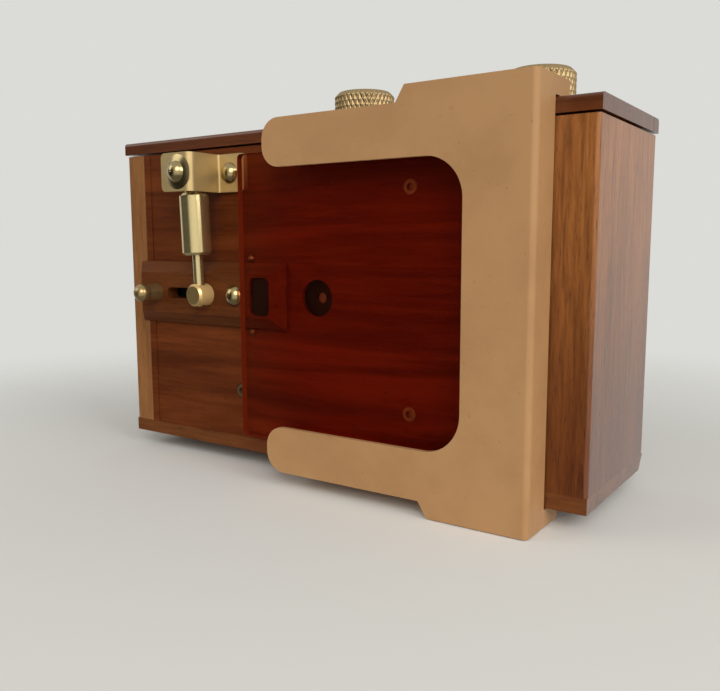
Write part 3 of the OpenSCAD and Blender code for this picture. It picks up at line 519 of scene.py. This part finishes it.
@dataclass(frozen=True)
class ClearSheet:
    """Clear tinted sheet: glass to the eye, a plain tint to stray light, and cut edges that scatter it."""

    name: str
    tint: Colour
    shadow: Colour
    edge: Colour
    ior: float = 1.12
    edge_roughness: float = 0.6
    edge_gloss: float = 0.1

    def material(self) -> bpy.types.Material:
        """Builds the material. An edge is where the normal leaves the Y axis.

        Returns:
            The finished material.
        """
        tree = Tree.of_material(self.name)
        glass = tree.surface(
            Base_Color=opaque(self.tint),
            Roughness=0.0,
            IOR=self.ior,
            Transmission_Weight=1.0,
        )
        clear = tree.node("ShaderNodeBsdfTransparent", None, {"Color": opaque(self.shadow)})
        stray = tree.is_ray("Shadow").larger(tree.is_ray("Diffuse"))
        rim = tree.surface(
            Base_Color=opaque(self.edge),
            Roughness=self.edge_roughness,
            Specular_IOR_Level=self.edge_gloss,
        )
        cut = 1.0 - tree.end_on()
        return tree.end(tree.blend(cut, tree.blend(stray, glass, clear), rim))


@dataclass(frozen=True)
class Blacking:
    """Dead black paint, plastic or anodising, with a little dust."""

    GRIT: ClassVar[Noise] = Noise(1.6, 4.0, 0.65)
    GRIT_ROUGHNESS: ClassVar[float] = 0.2
    GRIT_DEPTH: ClassVar[float] = 0.02 * MM
    GRIT_STRENGTH: ClassVar[float] = 0.5

    name: str
    colour: Colour = (0.008, 0.0075, 0.007)
    roughness: float = 0.6
    gloss: float = 0.2

    def material(self) -> bpy.types.Material:
        """Builds the material: fast noise is the dust's grit.

        Returns:
            The finished material.
        """
        tree = Tree.of_material(self.name)
        grit = tree.noise(tree.place(), self.GRIT)
        return tree.end(tree.surface(
            Base_Color=opaque(self.colour),
            Roughness=self.roughness + grit * self.GRIT_ROUGHNESS,
            Specular_IOR_Level=self.gloss,
            Normal=tree.bump(grit, self.GRIT_DEPTH, self.GRIT_STRENGTH),
        ))


class Finishes:
    """The materials of this camera, each made once."""

    STREAK: ClassVar[Colour] = (0.026, 0.006, 0.002)

    def __init__(self) -> None:
        """Makes every finish."""
        self._make_timbers()
        self._make_metals()
        self._make_plastics()

    def _make_timbers(self) -> None:
        """Makes the timbers of the boards and of the shutter's plate."""
        panel = Timber(
            "red_brown_panel",
            dark=(0.074, 0.0145, 0.0025),
            pale=(0.188, 0.0455, 0.009),
            streak=self.STREAK,
            streaks=0.36,
            fibre=0.22,
        )
        self.panel = panel.material()
        self.lid = Timber(
            "red_brown_lid",
            dark=(0.076, 0.017, 0.003),
            pale=(0.150, 0.040, 0.008),
            streak=self.STREAK,
            oil=0.8,
        ).material()
        self.base = Timber(
            "brown_base",
            dark=(0.095, 0.026, 0.0055),
            pale=(0.205, 0.067, 0.016),
            streak=self.STREAK,
            oil=0.75,
            fibre=0.45,
        ).material()
        self.pale_side = Timber(
            "pale_stile",
            dark=(0.20, 0.079, 0.025),
            pale=(0.34, 0.15, 0.052),
            streak=(0.085, 0.03, 0.01),
            grain=Grain.UPRIGHT,
            streaks=0.4,
            pores=0.35,
            fibre=0.5,
            heart_and_shade=panel,
            heart_and_shade_start=-55.9,
        ).material()
        # A darker copy of the right board's timber, used as painted shade on its lower part.
        painted_shade_side = Timber(
            "painted_shade_stile",
            dark=(0.080, 0.019, 0.0035),
            pale=(0.185, 0.052, 0.010),
            streak=(0.030, 0.008, 0.003),
            grain=Grain.UPRIGHT,
            streaks=0.45,
            pores=0.5,
            fibre=0.65,
        )
        # The right board blends into the darker copy towards its bottom: painted shade, darker towards the
        # bottom.
        self.side = Timber(
            "streaked_stile",
            dark=(0.200, 0.064, 0.015),
            pale=(0.46, 0.175, 0.043),
            streak=(0.060, 0.017, 0.006),
            grain=Grain.UPRIGHT,
            streaks=0.45,
            pores=0.5,
            oil=0.75,
            fibre=0.65,
            heart_and_shade=painted_shade_side,
            heart_and_shade_axis=DOWNWARD,
            heart_and_shade_start=-72.0,
            heart_and_shade_blur=66.0,
        ).material()
        self.plate = Timber(
            "slide_plate",
            dark=(0.080, 0.019, 0.004),
            pale=(0.155, 0.046, 0.011),
            streak=self.STREAK,
        ).material()

    def _make_metals(self) -> None:
        """Makes the kinds of brass, and the steel."""
        self.brass = Brass("turned_brass", roughness=0.08).material()
        self.drawn = Brass("drawn_brass", (0.65, 0.52, 0.26), roughness=0.1, metal=0.88).material()
        # Darker, less metallic brass for the finger post.
        self.post_brass = Brass(
            "dark_post_brass",
            colour=(0.36, 0.25, 0.11),
            tarnish=(0.2, 0.13, 0.055),
            roughness=0.18,
            metal=0.78,
            scuffs=0.1,
        ).material()
        # Darker brass for the domed screw heads.
        self.dome_brass = Brass(
            "dark_dome_brass",
            colour=(0.40, 0.31, 0.15),
            tarnish=(0.22, 0.16, 0.07),
            roughness=0.16,
            dullness=0.6,
        ).material()
        self.brushed = Brass(
            "brushed_brass",
            colour=(0.55, 0.40, 0.18),
            roughness=0.34,
            dullness=0.15,
            brush=(0.5, 0.5, 9.0),
            metal=0.6,
        ).material()
        self.satin = Brass(
            "satin_brass",
            colour=(0.74, 0.50, 0.21),
            roughness=0.22,
            metal=0.88,
            scuffs=0.1,
            flank=0.2,
        ).material()
        self.knurl = Brass("knurled_brass", (0.37, 0.265, 0.135), roughness=0.38, dullness=0.5).material()
        self.dull = Brass("dull_brass", (0.23, 0.155, 0.085), roughness=0.5, dullness=0.6).material()
        self.foil = Brass(
            "pinhole_foil",
            colour=(0.17, 0.15, 0.095),
            tarnish=(0.085, 0.075, 0.05),
            roughness=0.4,
            metal=0.4,
        ).material()
        self.steel = Steel("turned_steel").material()

    def _make_plastics(self) -> None:
        """Makes the printed, the clear and the black finishes."""
        self.printed = PrintedPlastic(
            "tan_print",
            colour=(0.475, 0.258, 0.109),
            darker_tone_and_pit_shade=(0.38, 0.195, 0.078),
        ).material()
        self.red = ClearSheet(
            "red_sheet",
            tint=(0.82, 0.41, 0.28),
            shadow=(0.88, 0.48, 0.36),
            edge=(0.18, 0.045, 0.018),
        ).material()
        self.black = Blacking("dead_black").material()
        self.black_plastic = Blacking(
            "black_plastic",
            colour=(0.02, 0.02, 0.02),
            roughness=0.42,
            gloss=0.5,
        ).material()


def coat_node(node: str, material: bpy.types.Material) -> None:
    """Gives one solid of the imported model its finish.

    Args:
        node: name of the solid.
        material: its finish.
    """
    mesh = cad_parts[node].data
    mesh.materials.clear()
    mesh.materials.append(material)
    LOG.info("%s takes %s", node, material.name)


def turned(foot: Vector, turn: np.ndarray, radii: np.ndarray, heights: np.ndarray) -> np.ndarray:
    """Sets rows of radii round an upright axis.

    A point is the foot plus radius times cos of the turn, radius times sin of the turn, and height.

    Args:
        foot: lowest point of the axis.
        turn: angle of each column.
        radii: radius of each point, rows by columns.
        heights: height of each row above the foot.

    Returns:
        Array of rows by columns by 3, in metres.
    """
    rise = np.repeat(heights[:, None], len(turn), axis=1)
    return np.stack([foot.x + radii * np.cos(turn), foot.y + radii * np.sin(turn), foot.z + rise], axis=-1)


def closed_grid(name: str, points: np.ndarray, poles: bool) -> bpy.types.Object:
    """Makes a closed mesh from a grid of points whose rows run round an axis.

    Every row joins its own start. With poles, the first and the last row are each closed by a fan
    to their mean; without, the last row joins the first, so that the rows make a ring.

    Args:
        name: name of the piece.
        points: array of rows by columns by 3, in metres.
        poles: whether the ends are closed by fans.

    Returns:
        The new object, at the origin.
    """
    rows, columns, _ = points.shape
    index = np.arange(rows * columns).reshape(rows, columns)
    upper = index[:-1] if poles else index
    lower = index[1:] if poles else np.roll(index, -1, axis=0)
    quads = np.stack([upper, np.roll(upper, -1, axis=1), np.roll(lower, -1, axis=1), lower], axis=-1)
    vertices = points.reshape(-1, 3)
    faces = quads.reshape(-1, 4).tolist()
    if poles:
        ends = np.stack([points[0].mean(axis=0), points[-1].mean(axis=0)])
        vertices = np.concatenate([vertices, ends])
        first = np.full(columns, rows * columns)
        start = np.stack([first, np.roll(index[0], -1), index[0]], axis=-1)
        finish = np.stack([first + 1, index[-1], np.roll(index[-1], -1)], axis=-1)
        faces += start.tolist() + finish.tolist()
    mesh = bpy.data.meshes.new(name)
    mesh.from_pydata(vertices.tolist(), [], faces)
    mesh.polygons.foreach_set("use_smooth", np.ones(len(mesh.polygons), dtype=bool))
    mesh.set_sharp_from_angle(angle=SHARP_ANGLE)
    mesh.update()
    piece = bpy.data.objects.new(name, mesh)
    bpy.context.scene.collection.objects.link(piece)
    return piece


def put_in(piece: bpy.types.Object, node: str, body: str, material: bpy.types.Material) -> None:
    """Lets a piece stand for a solid.

    Args:
        piece: the finished piece.
        node: name of the solid.
        body: the solid's body, on which the piece rides.
        material: its finish.
    """
    piece.data.materials.append(material)
    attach(piece, body)
    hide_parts(node)
    LOG.info("%s stands for %s on %s", piece.name, node, body)


@dataclass
class KnurledKnob:
    """A turned knob with a diamond knurl between two chamfered rims. Sizes in metres."""

    node: str
    body: str
    bore: float
    bore_share: float = 0.75
    chamfer: float = 1.0 * MM
    pitch: float = 1.15 * MM
    rise: float = 2.4 * MM
    depth: float = 0.28 * MM
    dish: float = 0.25 * MM
    rim: float = 0.9 * MM
    middle: float = 0.5 * MM
    columns_per_diamond: int = 10
    band_rows: int = 60
    slot: str = "brass"

    def build(self, material: bpy.types.Material) -> bpy.types.Object:
        """Makes the knob and puts it in place of its solid.

        A radius and height profile is carried round the axis. On its rows between the chamfers the
        radius is cut back by the depth times one less the smaller of |sin| of two crossing helices.

        Args:
            material: the knob's finish.

        Returns:
            The new piece.
        """
        low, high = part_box(self.node)
        centre = (low + high) / 2
        radius, height = (high.x - low.x) / 2, high.z - low.z
        flat, face = radius - self.chamfer, height - self.dish
        starts = round(TURN * radius / self.pitch)
        turn = np.linspace(0.0, TURN, starts * self.columns_per_diamond, endpoint=False)
        band = np.linspace(self.chamfer, height - self.chamfer, self.band_rows)
        inner = [(self.bore, self.bore_share * height), (self.bore, 0.0), (flat, 0.0)]
        outer = [
            (flat, height),
            (flat - self.rim, height),
            (flat - self.rim - self.dish, face),
            (self.middle, face),
        ]
        radii = np.array([r for r, _ in inner] + [radius] * len(band) + [r for r, _ in outer])
        heights = np.array([z for _, z in inner] + list(band) + [z for _, z in outer])
        knurl = slice(len(inner), len(inner) + len(band))
        around = turn[None, :] * starts / 2
        climb = math.pi * heights[knurl, None] / self.rise
        peak = np.minimum(np.abs(np.sin(around + climb)), np.abs(np.sin(around - climb)))
        shape = np.repeat(radii[:, None], len(turn), axis=1)
        shape[knurl] -= self.depth * (1.0 - peak)
        points = turned(Vector((centre.x, centre.y, low.z)), turn, shape, heights)
        piece = closed_grid(f"knurled_{self.node}", points, poles=True)
        put_in(piece, self.node, self.body, material)
        return piece


@dataclass
class ThreadedBush:
    """The brass bush for a tripod screw, with its thread cut. Sizes in metres, the run-out in turns."""

    node: str = "tripod_bush"
    body: str = "camera"
    slot: str = "brass"
    bore: float = 2.55 * MM
    thread: float = 0.6 * MM
    pitch: float = 1.27 * MM
    run_out: float = 0.5
    flange: float = 1.0 * MM
    shoulder: float = 1.5 * MM
    columns: int = 72
    rows_per_turn: int = 10

    def build(self, material: bpy.types.Material) -> bpy.types.Object:
        """Makes the bush and puts it in place of its solid.

        Inside, the radius grows from the bore by the thread's depth times the triangle wave of the
        height in turns less the angle in turns. Outside it is a plain stem with a flange.

        Args:
            material: the bush's finish.

        Returns:
            The new piece.
        """
        low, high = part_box(self.node)
        wide, height = (high.x - low.x) / 2, high.z - low.z
        stem = wide - self.shoulder
        turn = np.linspace(0.0, TURN, self.columns, endpoint=False)
        climb = np.linspace(height, 0.0, round(height / self.pitch * self.rows_per_turn))
        wave = np.abs(2 * np.mod(climb[:, None] / self.pitch - turn[None, :] / TURN, 1.0) - 1)
        ends = np.clip(np.minimum(climb, height - climb) / (self.run_out * self.pitch), 0.0, 1.0)
        inside = self.bore + self.thread * wave * ends[:, None]
        outside = [(wide, 0.0), (wide, self.flange), (stem, self.flange), (stem, height)]
        shape = np.concatenate([np.repeat([[r]], self.columns, axis=1) for r, _ in outside] + [inside])
        heights = np.concatenate([[z for _, z in outside], climb])
        points = turned(Vector((0.0, 0.0, low.z)), turn, shape, heights)
        piece = closed_grid("threaded_tripod_bush", points, poles=False)
        put_in(piece, self.node, self.body, material)
        return piece


@dataclass
class WoodenBox:
    """The box's boards, and the pinhole and black pieces inside it."""

    finishes: Finishes

    def dress(self) -> None:
        """Gives the boards their timber and the inner pieces their black and brass."""
        looks = self.finishes
        coat_node("front_board", looks.panel)
        coat_node("bottom_board", looks.base)
        for node in ("top_board", "back_board"):
            coat_node(node, looks.lid)
        coat_node("left_side_board", looks.pale_side)
        coat_node("right_side_board", looks.side)
        for node in ("light_chamber", "pinhole_board", "pinhole_ring"):
            coat_node(node, looks.black)
        coat_node("pinhole_foil", looks.foil)
        coat_node("pinhole_board_screws", looks.dull)


@dataclass
class SnapShutter:
    """The slotted plate, the blade behind it, the spring link and its bracket."""

    finishes: Finishes

    def dress(self) -> None:
        """Gives the plate its timber, the blade its black and the metal pieces their brass and steel."""
        looks = self.finishes
        coat_node("shutter_plate", looks.plate)
        for node in ("plate_inlay", "blade_keeper", "shutter_blade"):
            coat_node(node, looks.black)
        for node in ("pivot_spacer", "blade_bush"):
            coat_node(node, looks.brass)
        for node in ("piston_tube", "plunger_rod"):
            coat_node(node, looks.drawn)
        coat_node("finger_post", looks.post_brass)
        coat_node("shutter_bracket", looks.brushed)
        coat_node("swivel_stud", looks.satin)
        for node in ("plate_screw", "bracket_screw", "pivot_screw"):
            coat_node(node, looks.dome_brass)
        coat_node("plate_brads", looks.dull)
        for node in ("piston_spring", "keeper_screws"):
            coat_node(node, looks.steel)


@dataclass
class Winding:
    """The knobs, shafts, pins and spool, and the tripod bush."""

    finishes: Finishes
    winding_bore: float = 2.55 * MM
    lock_bore: float = 2.05 * MM

    def build(self) -> None:
        """Cuts the knobs' knurl and the bush's thread, and dresses the rest and the solids under them."""
        looks = self.finishes
        KnurledKnob("winding_knob", "winder", bore=self.winding_bore).build(looks.knurl)
        KnurledKnob("lock_knob", "lock", bore=self.lock_bore).build(looks.knurl)
        ThreadedBush().build(looks.brass)
        for node in ("winding_knob", "lock_knob", "tripod_bush", "winding_bush", "lock_washer"):
            coat_node(node, looks.brass)
        for node in ("lock_insert", "spool_pins", "film_top_pin"):
            coat_node(node, looks.brass)
        for node in ("winding_shaft", "shaft_clip", "lock_screw"):
            coat_node(node, looks.steel)
        coat_node("take_up_spool", looks.black_plastic)


@dataclass
class BackAndFilter:
    """What hangs on the back board, and the clip-on holder with its filter."""

    finishes: Finishes

    def dress(self) -> None:
        """Gives each piece its finish."""
        looks = self.finishes
        for node in ("locking_tongue", "cover_screw", "window_cover"):
            coat_node(node, looks.brass)
        coat_node("tongue_screws", looks.steel)
        for node in ("red_window", "red_filter"):
            coat_node(node, looks.red)
        coat_node("filter_holder", looks.printed)


@dataclass(frozen=True)
class Lamp:
    """A square soft lamp that faces the middle of the box, in metres and watts."""

    name: str
    place: Place
    power: float
    size: float
    colour: Colour
    target: Place = (0.0, -0.01, 0.038)

    def hang(self) -> None:
        """Makes the lamp and turns it to its target."""
        data = bpy.data.lights.new(self.name, "AREA")
        data.energy = self.power
        data.size = self.size
        data.color = self.colour
        lamp = bpy.data.objects.new(self.name, data)
        lamp.location = self.place
        way = Vector(self.target) - Vector(self.place)
        lamp.rotation_euler = way.to_track_quat("-Z", "Y").to_euler()
        bpy.context.scene.collection.objects.link(lamp)


@dataclass(frozen=True)
class WallPatch:
    """A soft-edged patch of the room, as polished pieces show it.

    Its side points to its middle, it fades in between the two cosines of its edge, and its change
    is what it adds to the room's strength of 1.
    """

    side: Direction
    edge: Span
    change: float

    def seen(self, ahead: Signal) -> Signal:
        """What the patch adds in a direction."""
        return ahead.dot(self.side).step(*self.edge) * self.change


@dataclass
class Studio:
    """Floor, soft light and the camera of the picture, in metres and degrees. The floor's fade is in mm."""

    image_width: int = 720
    focal_pixels: float = 776.6
    sensor: float = 36.0
    clip: Span = (0.005, 20.0)
    eye: Place = (0.10539, -0.15665, 0.05018)
    azimuth: float = 34.31
    elevation: float = 7.51
    roll: float = -0.16
    backdrop: Colour = (0.71, 0.71, 0.68)
    ambient: float = 0.42
    floor_colour: Colour = (0.82, 0.82, 0.79)
    floor_roughness: float = 0.9
    floor_gloss: float = 0.1
    floor_half: float = 3.0
    floor_gap: float = 0.0002
    floor_fade: Span = (70.0, 260.0)
    lamps: tuple[Lamp, ...] = (
        Lamp("window_front", (0.62, -0.92, 0.66), 7.5, 0.70, (1.0, 0.97, 0.93)),
        Lamp("window_right", (0.95, -0.20, 0.50), 4.5, 0.60, (1.0, 0.985, 0.96)),
        Lamp("window_left", (-0.75, -0.60, 0.55), 1.6, 0.50, (1.0, 0.985, 0.96)),
    )
    dark_side: WallPatch = WallPatch((-0.64, -0.77, 0.0), (0.72, 0.88), -0.95)
    bright_side: WallPatch = WallPatch((0.56, -0.82, -0.1), (0.78, 0.99), 0.4)
    glare_side: WallPatch = WallPatch((0.56, 0.82, -0.1), (0.75, 0.95), 0.08)
    under_side: WallPatch = WallPatch(DOWNWARD, (0.3, 0.7), -0.7)

    def camera(self) -> None:
        """Sets the camera at the eye, turned by its azimuth, tilted down by its elevation, and rolled."""
        data = bpy.data.cameras.new("picture_camera")
        data.sensor_width = self.sensor
        data.lens = self.focal_pixels / self.image_width * self.sensor
        data.clip_start, data.clip_end = self.clip
        turn, tilt = math.radians(self.azimuth), math.radians(self.elevation)
        ahead = Vector((-math.sin(turn) * math.cos(tilt), math.cos(turn) * math.cos(tilt), -math.sin(tilt)))
        level = ahead.cross(Vector(UPWARD)).normalized()
        above = level.cross(ahead)
        lean = math.radians(self.roll)
        right = level * math.cos(lean) + above * math.sin(lean)
        up = right.cross(ahead)
        place = Matrix((right, up, -ahead)).transposed().to_4x4()
        place.translation = Vector(self.eye)
        camera = bpy.data.objects.new("picture_camera", data)
        camera.matrix_world = place
        bpy.context.scene.collection.objects.link(camera)
        bpy.context.scene.camera = camera

    def light(self) -> None:
        """Hangs the lamps and lights the room.

        The eye sees a pale wall all round. Matte pieces get a softer light from it, and in polished
        pieces the wall is darker to one side and below, and lighter to two other sides.
        """
        for lamp in self.lamps:
            lamp.hang()
        world = bpy.data.worlds.new("pale_room")
        bpy.context.scene.world = world
        tree = Tree(world)
        ahead = tree.node("ShaderNodeTexCoord", output="Generated")
        sides = 1.0 + self.dark_side.seen(ahead) + self.bright_side.seen(ahead) + self.glare_side.seen(ahead)
        soft = tree.wall(self.backdrop, self.ambient)
        plain = tree.wall(self.backdrop, 1.0)
        room = tree.wall(self.backdrop, sides * (1.0 + self.under_side.seen(ahead)))
        seen = tree.is_ray("Camera").larger(tree.is_ray("Transmission"))
        tree.end(tree.blend(seen, tree.blend(tree.is_ray("Glossy"), soft, room), plain))

    def floor(self) -> None:
        """Lays a pale floor under the lowest piece.

        It fades into the wall with its distance in mm, and polished pieces show the room in its place.
        """
        low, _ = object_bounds()
        reach, level = self.floor_half, low.z - self.floor_gap
        corners = [(x * reach, y * reach, level) for x, y in ((-1, -1), (1, -1), (1, 1), (-1, 1))]
        mesh = bpy.data.meshes.new("pale_floor")
        mesh.from_pydata(corners, [], [(0, 1, 2, 3)])
        tree = Tree.of_material("pale_floor")
        paper = tree.surface(
            Base_Color=opaque(self.floor_colour),
            Roughness=self.floor_roughness,
            Specular_IOR_Level=self.floor_gloss,
        )
        clear = tree.node("ShaderNodeBsdfTransparent")
        away = tree.node("ShaderNodeVectorMath", {"operation": "LENGTH"}, {0: tree.place()}, output="Value")
        fade = away.step(*self.floor_fade).larger(tree.is_ray("Glossy"))
        mesh.materials.append(tree.end(tree.blend(fade, paper, clear)))
        floor = bpy.data.objects.new("pale_floor", mesh)
        bpy.context.scene.collection.objects.link(floor)
        floor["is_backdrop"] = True

    def build(self) -> None:
        """Sets the whole studio up."""
        self.camera()
        self.light()
        self.floor()
        bpy.context.scene.view_settings.view_transform = "Standard"
        LOG.info("studio set")


def main() -> None:
    """Sets up the studio and dresses the camera piece by piece."""
    logging.basicConfig(level=logging.INFO, format="%(name)s: %(message)s")
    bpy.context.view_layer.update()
    finishes = Finishes()
    Studio().build()
    WoodenBox(finishes).dress()
    SnapShutter(finishes).dress()
    Winding(finishes).build()
    BackAndFilter(finishes).dress()


if __name__ == "__main__":
    main()
